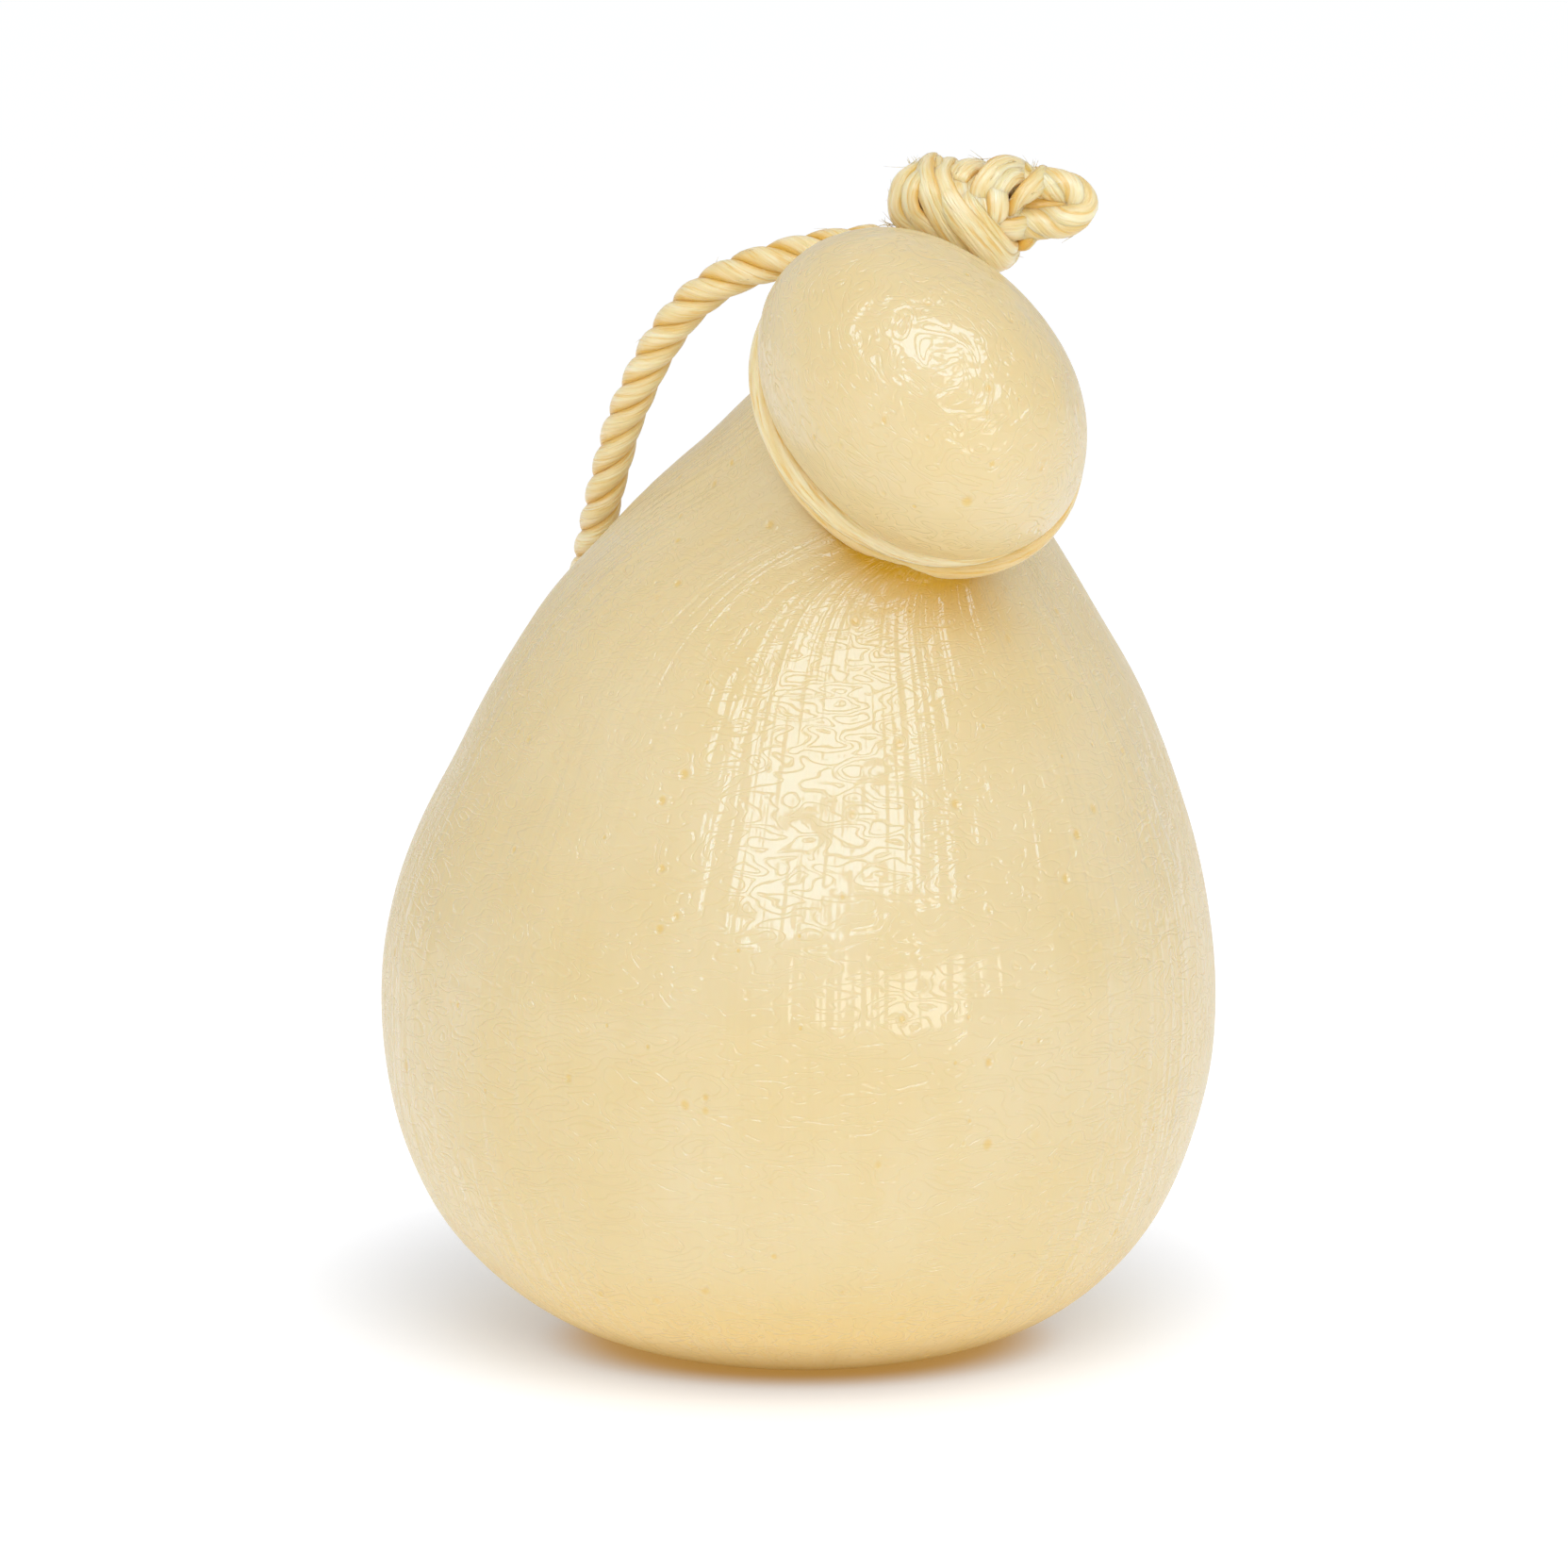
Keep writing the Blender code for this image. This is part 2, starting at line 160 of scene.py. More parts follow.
# The knot's strands, which run nearly side by side, unlaid. Each has its half width, its half
# thickness and the points that it passes.
KNOT_STRANDS = {
    "front_1": (0.00155, 0.00115, (
        (0.0239, -0.0120, 0.1871), (0.0223, -0.0105, 0.1916), (0.0211, -0.0120, 0.1969),
        (0.0204, -0.0165, 0.2001), (0.0195, -0.0220, 0.1987), (0.0201, -0.0246, 0.1962),
        (0.0213, -0.0252, 0.1934), (0.0228, -0.0250, 0.1908), (0.0248, -0.0240, 0.1882),
        (0.0267, -0.0220, 0.1856),
    )),
    "front_2": (0.00180, 0.00125, (
        (0.0269, -0.0120, 0.1865), (0.0257, -0.0100, 0.1912), (0.0241, -0.0115, 0.1966),
        (0.0230, -0.0165, 0.1994), (0.0219, -0.0222, 0.1977), (0.0230, -0.0250, 0.1950),
        (0.0249, -0.0260, 0.1924), (0.0274, -0.0260, 0.1895), (0.0297, -0.0250, 0.1868),
        (0.0319, -0.0225, 0.1844), (0.0335, -0.0180, 0.1846),
    )),
    "front_3": (0.00160, 0.00115, (
        (0.0300, -0.0125, 0.1865), (0.0291, -0.0100, 0.1909), (0.0272, -0.0115, 0.1963),
        (0.0256, -0.0160, 0.1988), (0.0256, -0.0215, 0.1968), (0.0263, -0.0242, 0.1940),
        (0.0281, -0.0250, 0.1914), (0.0304, -0.0245, 0.1886), (0.0328, -0.0220, 0.1859),
        (0.0339, -0.0170, 0.1860),
    )),
    "left_1": (0.00150, 0.00110, (
        (0.0206, -0.0140, 0.1986), (0.0185, -0.0185, 0.1990), (0.0163, -0.0210, 0.1979),
        (0.0153, -0.0218, 0.1956), (0.0151, -0.0218, 0.1932), (0.0162, -0.0216, 0.1912),
        (0.0183, -0.0215, 0.1897), (0.0209, -0.0210, 0.1889),
    )),
    "left_2": (0.00145, 0.00110, (
        (0.0213, -0.0170, 0.1983), (0.0191, -0.0215, 0.1984), (0.0175, -0.0234, 0.1967),
        (0.0172, -0.0238, 0.1943), (0.0181, -0.0236, 0.1920), (0.0203, -0.0232, 0.1901),
        (0.0227, -0.0226, 0.1884), (0.0249, -0.0215, 0.1868),
    )),
    "left_3": (0.00160, 0.00120, (
        (0.0192, -0.0125, 0.1967), (0.0167, -0.0145, 0.1959), (0.0152, -0.0165, 0.1939),
        (0.0152, -0.0175, 0.1916), (0.0167, -0.0180, 0.1898), (0.0191, -0.0180, 0.1886),
    )),
    "top_1": (0.00160, 0.00125, (
        (0.0245, -0.0220, 0.1966), (0.0253, -0.0218, 0.1984), (0.0269, -0.0196, 0.1994),
        (0.0289, -0.0165, 0.1991), (0.0304, -0.0125, 0.1973), (0.0309, -0.0105, 0.1943),
        (0.0306, -0.0110, 0.1910),
    )),
    "cross_1": (0.00170, 0.00120, (
        (0.0373, -0.0140, 0.1974), (0.0356, -0.0175, 0.1989), (0.0335, -0.0200, 0.1996),
        (0.0314, -0.0222, 0.1989), (0.0297, -0.0232, 0.1971), (0.0289, -0.0232, 0.1952),
        (0.0294, -0.0224, 0.1931), (0.0307, -0.0205, 0.1910), (0.0320, -0.0175, 0.1900),
    )),
    "cross_2": (0.00145, 0.00110, (
        (0.0378, -0.0155, 0.1969), (0.0356, -0.0190, 0.1981), (0.0334, -0.0218, 0.1981),
        (0.0320, -0.0228, 0.1967), (0.0312, -0.0226, 0.1948), (0.0311, -0.0208, 0.1929),
        (0.0314, -0.0180, 0.1915),
    )),
    "under_1": (0.00165, 0.00120, (
        (0.0387, -0.0170, 0.1894), (0.0362, -0.0198, 0.1897), (0.0331, -0.0214, 0.1894),
        (0.0300, -0.0220, 0.1896), (0.0273, -0.0215, 0.1904), (0.0246, -0.0205, 0.1916),
    )),
    "under_2": (0.00160, 0.00120, (
        (0.0376, -0.0155, 0.1902), (0.0350, -0.0190, 0.1914), (0.0322, -0.0210, 0.1913),
        (0.0291, -0.0215, 0.1911), (0.0261, -0.0208, 0.1919),
    )),
    "under_3": (0.00160, 0.00125, (
        (0.0370, -0.0140, 0.1882), (0.0342, -0.0170, 0.1876), (0.0314, -0.0185, 0.1871),
        (0.0283, -0.0185, 0.1874), (0.0253, -0.0175, 0.1879),
    )),
    "eye_lobe": (0.00150, 0.00120, (
        (0.0320, -0.0165, 0.1905), (0.0331, -0.0195, 0.1922), (0.0349, -0.0217, 0.1943),
        (0.0370, -0.0215, 0.1962), (0.0389, -0.0190, 0.1977), (0.0396, -0.0160, 0.1976),
    )),
}
KNOT_MIDDLE = Vector((0.0260, -0.0165, 0.1925))
# The strands are made this much wider, so that they close up.
STRAND_SPREAD = 1.3
# The front's strands are repeated behind, mirrored about the middle and moved by this.
BACK_SHIFT = (0.0006, -0.0012, -0.0004)
# Where the knot grips the turn round the neck.
KNOT_ROOTS = (
    (0.0019, 0.0022, (
        (0.0120, -0.0200, 0.1832), (0.0160, -0.0190, 0.1850), (0.0200, -0.0175, 0.1872),
        (0.0235, -0.0165, 0.1895),
    )),
    (0.0021, 0.0024, (
        (0.0190, -0.0202, 0.1820), (0.0203, -0.0190, 0.1850), (0.0220, -0.0175, 0.1885),
    )),
    (0.0019, 0.0022, (
        (0.0270, -0.0208, 0.1790), (0.0263, -0.0198, 0.1830), (0.0253, -0.0182, 0.1865),
        (0.0245, -0.0170, 0.1900),
    )),
)
# The rope inside the knot, seen only through its gaps.
KNOT_CORE = (
    (0.0026, 0.0034, (
        (0.0195, -0.0170, 0.1935), (0.0240, -0.0175, 0.1935), (0.0290, -0.0175, 0.1935),
        (0.0335, -0.0175, 0.1935),
    )),
    (0.0022, 0.0024, (
        (0.0215, -0.0170, 0.1895), (0.0260, -0.0170, 0.1880), (0.0295, -0.0165, 0.1875),
        (0.0308, -0.0165, 0.1885),
    )),
    (0.0017, 0.0016, (
        (0.0330, -0.0176, 0.1936), (0.0365, -0.0176, 0.1936), (0.0400, -0.0176, 0.1934),
        (0.0440, -0.0178, 0.1932),
    )),
)
KNOT_SEED = 30

# The small eye at the knot's right end.
EYE_ROUTE = (
    (0.0262, -0.0185, 0.1915), (0.0300, -0.0188, 0.1905), (0.0345, -0.0188, 0.1901),
    (0.0390, -0.0190, 0.1903), (0.0428, -0.0195, 0.1908), (0.0452, -0.0190, 0.1932),
    (0.0434, -0.0185, 0.1957), (0.0390, -0.0185, 0.1967), (0.0345, -0.0185, 0.1968),
    (0.0300, -0.0190, 0.1966), (0.0262, -0.0195, 0.1958),
)
EYE_LAY = 0.0165
EYE_PHASE = 0.8
EYE_STRANDS = {"offset": 0.00140, "half_width": 0.0020, "half_height": 0.00132, "seed": 20}

# A strand's mesh, and its fibres as its ridges and its material read them.
STRAND_STEP = 0.0004
STRAND_SIDES = 22
FIBRE_RADIUS = 0.0016
FIBRE_STRETCH = 0.07
FIBRE_SHIFTS = (0.013, 0.007)
RIDGE_HEIGHT = 0.035
RIDGE_CELL = 0.0011
FINE_RIDGE_CELL = 0.00045
LAID_TWIST = 60.0
KNOT_TWIST = 25.0
# Where amber shade is painted on strands: in the grooves between laid ones, on their flanks, and in
# the knot.
GROOVE_DEPTH = 0.21
FLANK_SHADE = 0.45
UNDERSIDE_SHADE = 0.9
CORE_SHADE = 0.8

RANDOM_SEED = 7
TIE_HAIRS = 170
ROPE_HAIRS = 30
HAIR_POINTS = 7
HAIR_MARGIN = 4
HAIR_RADII = (0.00005, 0.00010)
HAIR_TIP = 0.35
HAIR_LENGTHS = (0.0015, 0.0045)
HAIR_LIFTS = (0.02, 0.3)
HAIR_BENDS = (0.1, 0.5)
FRAY_SPREAD = 0.0009
FRAY_SHAKE = 0.6
FRAY_LENGTHS = (0.5, 1.2)
# Frayed spots of the knot: place, direction, fibres and their length.
FRAYS = (
    ((0.0180, -0.0195, 0.2002), (-0.3, -0.3, 1.0), 7, 0.0016),
    ((0.0207, -0.0200, 0.2004), (0.1, -0.3, 1.0), 6, 0.0013),
    ((0.0375, -0.0180, 0.1990), (-0.2, -0.2, 1.0), 8, 0.0015),
    ((0.0322, -0.0222, 0.1868), (0.8, -0.6, -0.3), 9, 0.0022),
    ((0.0142, -0.0180, 0.1893), (-1.0, -0.2, 0.1), 14, 0.0030),
    ((0.0160, -0.0190, 0.1880), (-0.8, -0.4, 0.3), 10, 0.0026),
    ((0.0290, -0.0236, 0.1930), (0.5, -0.8, -0.2), 7, 0.0018),
)

# The rind's colours, and how high up each of the lower ones reaches. The yellow is the rind's own
# and is also painted shade low down; the deep and the bottom's gold are painted shade toward the
# bottom, and the crease's gold is painted shade under the tie and the head.
CHEESE_PALE = (0.775, 0.635, 0.365)
CHEESE_YELLOW = (0.755, 0.58, 0.26)
BOTTOM_SHADE_DEEP = (0.78, 0.50, 0.10)
PIT_GOLD = (0.76, 0.52, 0.14)
CREASE_SHADE_GOLD = (0.62, 0.33, 0.0)
CONTACT_SHADE_GOLD = (0.42, 0.23, 0.02)
YELLOW_SHADE_TOP = 0.045
DEEP_SHADE_TOP = 0.030
CONTACT_SHADE_BAND = (0.001, 0.013)
DULL_BAND = (0.001, 0.012)
# The rind's patterns: how many there are to a metre, how they are stretched, and where they are.
STREAK_SCALE = 760.0
STREAK_SPOT_SCALE = 75.0
STREAK_STRETCH = (1.0, 1.0, 0.4)
PATCH_SCALE = 170.0
PATCH_STRETCH = (1.0, 1.0, 0.6)
SWIRL_SCALE = 190.0
SWIRL_STRETCH = (1.0, 0.6, 1.0)
SWIRL_REACH = (0.012, 0.027)
WRINKLE_SCALE = 190.0
WRINKLE_SPOT_SCALE = 90.0
WRINKLE_STRETCH = (1.0, 1.0, 1.8)
WRINKLE_TURNS = 21.0
CLOUD_SCALE = 28.0
VEIN_SCALE = 160.0
PIT_SCALE = 225.0
PIT_STRETCH = (1.0, 1.0, 0.8)
# The height of the rind's relief, and each pattern's share in it.
RELIEF_HEIGHT = 0.001
PATCH_RISE = 0.50
SWIRL_RISE = 0.70
STREAK_RISE = 0.62
WRINKLE_RISE = 0.19
DENT_RISE = 0.27
RIM_RISE = 0.4
# How much of that relief the body under the coat shows.
BODY_RELIEF = 0.26

ROPE_PALE = (0.96, 0.85, 0.55)
ROPE_STRAW = (0.87, 0.68, 0.31)
ROPE_AMBER = (0.82, 0.47, 0.05)
THREAD_SCALE = 1900.0
THREAD_HEIGHT = 0.00040
BAND_SCALE = 1100.0

# The floor. Its own light paints the shade: it is weak round the middle of the painted shadow, and
# a painted golden glow under the cheese.
FLOOR_SIZE = 8.0
FLOOR_HEIGHT = -0.0002
FLOOR_COLOUR = (0.585, 0.60, 0.635, 1.0)
FLOOR_LIGHT = 0.62
SHADE_MIDDLE = (-0.006, 0.040, 0.0)
SHADE_REACH = (0.045, 0.098)
SHADE_LIGHT = 0.52
GLOW_GOLD = (0.50, 0.28, 0.06)
GLOW_REACH = (0.025, 0.037)
GLOW_STRETCH = (0.8, 1.0, 1.0)
BLACK = (0.0, 0.0, 0.0)
WHITE = (1.0, 1.0, 1.0)

# Name, azimuth, elevation, distance, width, height, power, what sees it, and colour.
LIGHTS = (
    ("key_gloss", 10, 43, 1.0, 1.06, 0.54, 11.5, "gloss", (0.50, 0.78, 1.05)),
    ("top_soft", 0, 84, 1.0, 0.80, 0.80, 1.2, "diffuse", WHITE),
    ("key_soft", 6, 37, 1.0, 1.06, 0.54, 3.3, "diffuse", WHITE),
    ("low_gloss", 29, 4, 1.1, 0.50, 0.30, 2.1, "gloss", (0.85, 0.95, 1.0)),
)
LIGHT_AIM = Vector((0, 0, 0.1))
WORLD_STRENGTH = 0.64

# The steps from each key of a curve to the next.
CURVE_SHARES = np.linspace(0, 1, 25)[:-1, None]


# Curves and directions.


def value_between(a, b, c, d, t):
    """The Catmull-Rom curve between b and c."""
    bend = (2 * a - 5 * b + 4 * c - d) * t**2 + (3 * b - a - 3 * c + d) * t**3
    return 0.5 * (2 * b + (c - a) * t + bend)


def curve_pieces(keys):
    """The curve's fine points from each key to the next, without the first and last stretch."""
    return [value_between(*keys[i : i + 4], CURVE_SHARES) for i in range(len(keys) - 3)]


def lengths_along(points):
    """How far along a line each of its points is."""
    return np.concatenate([[0], np.cumsum(np.linalg.norm(np.diff(points, axis=0), axis=1))])


def resampled(rows, places, wanted):
    return np.stack([np.interp(wanted, places, column) for column in rows.T], axis=1)


def smooth_points(route, step):
    """Evenly spaced points, as an array, on the Catmull-Rom curve through a route."""
    points = np.array(route, float)
    points = np.vstack([2 * points[0] - points[1], points, 2 * points[-1] - points[-2]])
    fine = np.vstack([*curve_pieces(points), points[-2]])
    travelled = lengths_along(fine)
    even = np.linspace(0, travelled[-1], max(round(travelled[-1] / step), 3) + 1)
    return resampled(fine, travelled, even)


def unit(vectors):
    """Rows of vectors with their lengths made 1."""
    return vectors / np.linalg.norm(vectors, axis=1, keepdims=True)


def directions(line):
    return unit(np.gradient(line, axis=0))


def square_to(vectors, forward):
    """Vectors turned square to a line's directions, with their lengths made 1."""
    return unit(vectors - forward * (vectors * forward).sum(axis=1, keepdims=True))


def eased(values, low, high):
    share = np.clip((values - low) / (high - low), 0, 1)
    return share * share * (3 - 2 * share)


def wave(points, cell):
    """Smooth noise, from about -1 to 1, that varies over a cell's length."""
    values = [noise.noise(Vector(point)) for point in points.reshape(-1, 3) / cell]
    return np.array(values).reshape(points.shape[:-1])


def add_camera():
    data = bpy.data.cameras.new("camera")
    data.lens = CAMERA_LENS
    data.sensor_width = SENSOR_WIDTH
    camera = bpy.data.objects.new("camera", data)
    back = Vector((0, -math.cos(CAMERA_ELEVATION), math.sin(CAMERA_ELEVATION)))
    camera.location = CAMERA_AIM + back * CAMERA_DISTANCE
    camera.rotation_mode = "QUATERNION"
    camera.rotation_quaternion = (-back).to_track_quat("-Z", "Y")
    bpy.context.scene.collection.objects.link(camera)
    bpy.context.scene.camera = camera


# Meshes and materials.


def tube_faces(first, rows, count):
    """The faces between rings of points that follow one another."""
    faces = []
    for row in range(rows - 1):
        low, high = first + row * count, first + (row + 1) * count
        for i in range(count):
            j = (i + 1) % count
            faces.append((low + i, low + j, high + j, high + i))
    return faces


def add_mesh(name, points, faces, look, attributes=()):
    """A smooth mesh piece with its material and its named vertex values."""
    mesh = bpy.data.meshes.new(name)
    mesh.from_pydata(points, [], faces)
    for key, values in attributes:
        values = np.asarray(values, np.float32)
        if values.ndim == 2:
            layer = mesh.attributes.new(key, "FLOAT_VECTOR", "POINT")
            layer.data.foreach_set("vector", values.ravel())
        else:
            layer = mesh.attributes.new(key, "FLOAT", "POINT")
            layer.data.foreach_set("value", values)
    mesh.shade_smooth()
    mesh.materials.append(look)
    made = bpy.data.objects.new(name, mesh)
    bpy.context.scene.collection.objects.link(made)
    return made


class Look:
    """A material's node tree, with short calls to add its nodes."""

    def __init__(self, name):
        self.material = bpy.data.materials.new(name)
        self.material.use_nodes = True
        self.tree = self.material.node_tree
        self.shader = self.tree.nodes["Principled BSDF"]

    def node(self, kind, inputs=(), **settings):
        made = self.tree.nodes.new(kind)
        for key, value in settings.items():
            setattr(made, key, value)
        for key, value in dict(inputs).items():
            self.give(made, key, value)
        return made

    def give(self, node, key, value):
        """Links a socket to an output, or sets its value."""
        if isinstance(value, bpy.types.NodeSocket):
            self.tree.links.new(value, node.inputs[key])
        else:
            node.inputs[key].default_value = value

    def place(self):
        return self.node("ShaderNodeTexCoord").outputs["Object"]

    def attribute(self, name, output="Vector"):
        return self.node("ShaderNodeAttribute", attribute_name=name).outputs[output]

    def math(self, operation, a, b=0.0):
        return self.node("ShaderNodeMath", {0: a, 1: b}, operation=operation).outputs[0]

    def times(self, a, b):
        return self.math("MULTIPLY", a, b)

    def distance(self, vector, point=(0.0, 0.0, 0.0)):
        made = self.node("ShaderNodeVectorMath", {0: vector, 1: point}, operation="DISTANCE")
        return made.outputs["Value"]

    def scaled(self, vector, scale):
        return self.node("ShaderNodeMapping", {"Vector": vector, "Scale": scale}).outputs[0]

    def noise(self, vector, scale, detail, roughness=0.5, distortion=0.0):
        inputs = {
            "Vector": vector,
            "Scale": scale,
            "Detail": detail,
            "Roughness": roughness,
            "Distortion": distortion,
        }
        return self.node("ShaderNodeTexNoise", inputs).outputs["Fac"]

    def fit(self, value, low, high, to_low=0.0, to_high=1.0):
        """A value's range moved to another, held inside it and eased."""
        inputs = {"Value": value, 1: low, 2: high, 3: to_low, 4: to_high}
        made = self.node("ShaderNodeMapRange", inputs, interpolation_type="SMOOTHSTEP")
        return made.outputs[0]

    def mix(self, factor, a, b):
        made = self.node("ShaderNodeMix", data_type="RGBA")
        self.give(made, "Factor", factor)
        for socket, value in ((6, a), (7, b)):
            linked = isinstance(value, bpy.types.NodeSocket)
            self.give(made, socket, value if linked else (*value, 1.0))
        return made.outputs[2]

    def layered(self, colour, *layers):
        """A colour with others laid over it, each by its share."""
        for share, over in layers:
            colour = self.mix(share, colour, over)
        return colour

    def bump(self, height, distance):
        return self.node("ShaderNodeBump", {"Height": height, "Distance": distance}).outputs[0]

    def set(self, **values):
        """Sets or links the shader's sockets, named with underscores for spaces."""
        for key, value in values.items():
            self.give(self.shader, key.replace("_", " "), value)


def rind_streaks(look, grain):
    """Fine streaks along the grain, weaker in spots."""
    drawn = look.scaled(grain, STREAK_STRETCH)
    strength = look.fit(look.noise(drawn, STREAK_SPOT_SCALE, 0.0), 0.40, 0.62, 0.4, 1.0)
    return look.times(look.noise(drawn, STREAK_SCALE, 1.0), strength)


def rind_swirls(look, place):
    """Swirls on the head, that fade away from its tip."""
    tip = tuple(map(float, head_section(HEAD_CENTRE + HEAD_DEPTH)[:3]))
    strength = look.fit(look.distance(place, tip), *SWIRL_REACH, 1.0, 0.0)
    swirls = look.noise(look.scaled(place, SWIRL_STRETCH), SWIRL_SCALE, 1.0, 0.5, 1.6)
    return look.times(swirls, strength)


def rind_wrinkles(look, flow):
    """The fine wrinkles round the form, and their strength from spot to spot."""
    folded = look.noise(look.scaled(flow, WRINKLE_STRETCH), WRINKLE_SCALE, 0.0, 0.5, 0.45)
    folded = look.math("ABSOLUTE", look.math("SINE", look.times(folded, WRINKLE_TURNS)))
    strength = look.fit(look.noise(flow, WRINKLE_SPOT_SCALE, 0.0), 0.36, 0.58, 0.65, 1.0)
    return look.times(look.fit(folded, 0.0, 0.55), strength), strength


def rind_pits(look, place):
    """The small pits, some wider than others, and the rims round them."""
    inputs = {"Vector": look.scaled(place, PIT_STRETCH), "Scale": PIT_SCALE}
    cells = look.node("ShaderNodeTexVoronoi", inputs)
    chance = look.node("ShaderNodeSeparateColor", {0: cells.outputs["Color"]})
    chosen = look.fit(chance.outputs[0], 0.32, 0.40)
    breadth = look.times(look.math("POWER", chance.outputs[1], 3.0), 0.18)
    breadth = look.math("ADD", breadth, 0.085)
    nearness = look.math("DIVIDE", cells.outputs["Distance"], breadth)
    off_rim = look.math("ABSOLUTE", look.math("SUBTRACT", nearness, 1.2))
    pit = look.times(look.fit(nearness, 0.3, 1.0, 1.0, 0.0), chosen)
    return pit, look.times(look.fit(off_rim, 0.0, 0.5, 1.0, 0.0), chosen)


def cheese_material():
    look = Look("cheese_rind")
    place = look.place()
    grain = look.attribute("grain")
    flow = look.attribute("flow")
    height = look.node("ShaderNodeSeparateXYZ", {0: place}).outputs["Z"]
    patches = look.noise(look.scaled(flow, PATCH_STRETCH), PATCH_SCALE, 1.0, 0.5, 0.8)
    wrinkles, wrinkled = rind_wrinkles(look, flow)
    pit, rim = rind_pits(look, place)

    clouds = look.fit(look.noise(place, CLOUD_SCALE, 2.0, 0.55), 0.35, 0.68)
    veins = look.fit(look.noise(grain, VEIN_SCALE, 2.0, 0.6), 0.35, 0.7)
    # Painted shade: the wrinkles' furrows are laid in yellower.
    furrow_shade = look.math("SUBTRACT", wrinkled, wrinkles)
    colour = look.layered(
        CHEESE_PALE,
        (look.times(clouds, 0.55), CHEESE_YELLOW),
        (look.times(veins, 0.25), CHEESE_YELLOW),
        (look.times(furrow_shade, 0.22), CHEESE_YELLOW),
        # Painted shade: yellower, then deeper, toward the bottom, and gold in the lowest band where
        # the contact shadow falls.
        (look.fit(height, 0.0, YELLOW_SHADE_TOP, 0.9, 0.0), CHEESE_YELLOW),
        (look.fit(height, 0.0, DEEP_SHADE_TOP, 0.9, 0.0), BOTTOM_SHADE_DEEP),
        (look.fit(height, *CONTACT_SHADE_BAND, 1.0, 0.0), CONTACT_SHADE_GOLD),
        (look.times(pit, 0.7), PIT_GOLD),
        # Painted shade: gold in the crease below the tie and below the head.
        (look.attribute("painted_shade", "Fac"), CREASE_SHADE_GOLD),
    )

    dents = look.math("SUBTRACT", look.times(rim, RIM_RISE), pit)
    relief = look.times(patches, PATCH_RISE)
    for pattern, rise in (
        (rind_swirls(look, place), SWIRL_RISE),
        (rind_streaks(look, grain), STREAK_RISE),
        (wrinkles, WRINKLE_RISE),
        (dents, DENT_RISE),
    ):
        relief = look.math("ADD", relief, look.times(pattern, rise))
    skin = look.bump(relief, RELIEF_HEIGHT)
    smooth = look.node("ShaderNodeNewGeometry").outputs["Normal"]
    softened = look.node("ShaderNodeMix", {0: BODY_RELIEF, 4: smooth, 5: skin}, data_type="VECTOR")
    body = look.node("ShaderNodeVectorMath", {0: softened.outputs[1]}, operation="NORMALIZE")

    edgeways = look.node("ShaderNodeLayerWeight", {"Blend": 0.5}).outputs["Facing"]
    coat = look.fit(edgeways, 0.5, 0.95, 1.0, 0.35)
    look.set(
        Base_Color=colour,
        Roughness=0.45,
        Specular_IOR_Level=0.25,
        Subsurface_Weight=0.22,
        Subsurface_Radius=(1.0, 0.55, 0.22),
        Subsurface_Scale=0.005,
        IOR=1.45,
        Normal=body.outputs["Vector"],
        Coat_Weight=look.times(coat, look.fit(height, *DULL_BAND, 0.15, 1.0)),
        Coat_Roughness=look.fit(patches, 0.3, 0.7, 0.05, 0.10),
        Coat_IOR=1.45,
        Coat_Normal=skin,
    )
    return look.material


def rope_material():
    look = Look("straw_rope")
    fibre = look.attribute("fibre")
    threads = look.noise(fibre, THREAD_SCALE, 3.0, 0.6)
    bands = look.noise(fibre, BAND_SCALE, 3.0, 0.55)
    colour = look.layered(
        ROPE_PALE,
        (look.fit(bands, 0.3, 0.7), ROPE_STRAW),
        (look.times(look.fit(threads, 0.45, 0.62), 0.65), ROPE_STRAW),
        (look.times(look.fit(threads, 0.54, 0.66), 0.5), ROPE_AMBER),
        # Painted shade: amber in the grooves, on the flanks and undersides, and over hidden
        # strands.
        (look.attribute("deep", "Fac"), ROPE_AMBER),
    )
    look.set(
        Base_Color=colour,
        Roughness=0.31,
        Subsurface_Weight=0.25,
        Subsurface_Radius=(1.0, 0.6, 0.25),
        Subsurface_Scale=0.0012,
        Sheen_Weight=0.25,
        Normal=look.bump(threads, THREAD_HEIGHT),
    )
    return look.material


# The cheese.


def belly_radius(height):
    if height < BELLY_HEIGHT:
        base_drop = (1 - (FLAT_RADIUS / BELLY_RADIUS) ** BELLY_POWER) ** (1 / BELLY_POWER)
        drop = base_drop * (BELLY_HEIGHT - height) / BELLY_HEIGHT
        return BELLY_RADIUS * (1 - drop**BELLY_POWER) ** (1 / BELLY_POWER)
    return BELLY_RADIUS * (1 - ((height - BELLY_HEIGHT) / TAPER_LENGTH) ** TAPER_POWER)


def section(x, y, z, tilt=0.0, heading=0.0, wide=0.0, deep=0.0, skew=0.0):
    """A section of the loft as an array: its middle, its turns and its oval."""
    return np.array((x, y, z, tilt, heading, wide, deep, skew))


def belly_section(height):
    if height < BELLY_HEIGHT:
        share = height / BELLY_HEIGHT
        x = BELLY_SHIFT * (3 - 2 * share) * share**2
    else:
        share = (height - BELLY_HEIGHT) / (STATIONS[0][0][1] - BELLY_HEIGHT)
        x = BELLY_SHIFT + (SHOULDER_SHIFT - BELLY_SHIFT) * share**2
    radius = belly_radius(height)
    return section(x, 0.0, height, wide=radius, deep=radius)


def station_section(number):
    front, back, x, half_width = STATIONS[number]
    share = number / (len(STATIONS) - 1)
    depth, rise = back[0] - front[0], back[1] - front[1]
    return section(
        x,
        (front[0] + back[0]) / 2,
        (front[1] + back[1]) / 2,
        math.atan2(rise, depth),
        HEAD_HEADING * share**2,
        half_width,
        math.hypot(depth, rise) / 2,
        NECK_SKEW * share**3,
    )


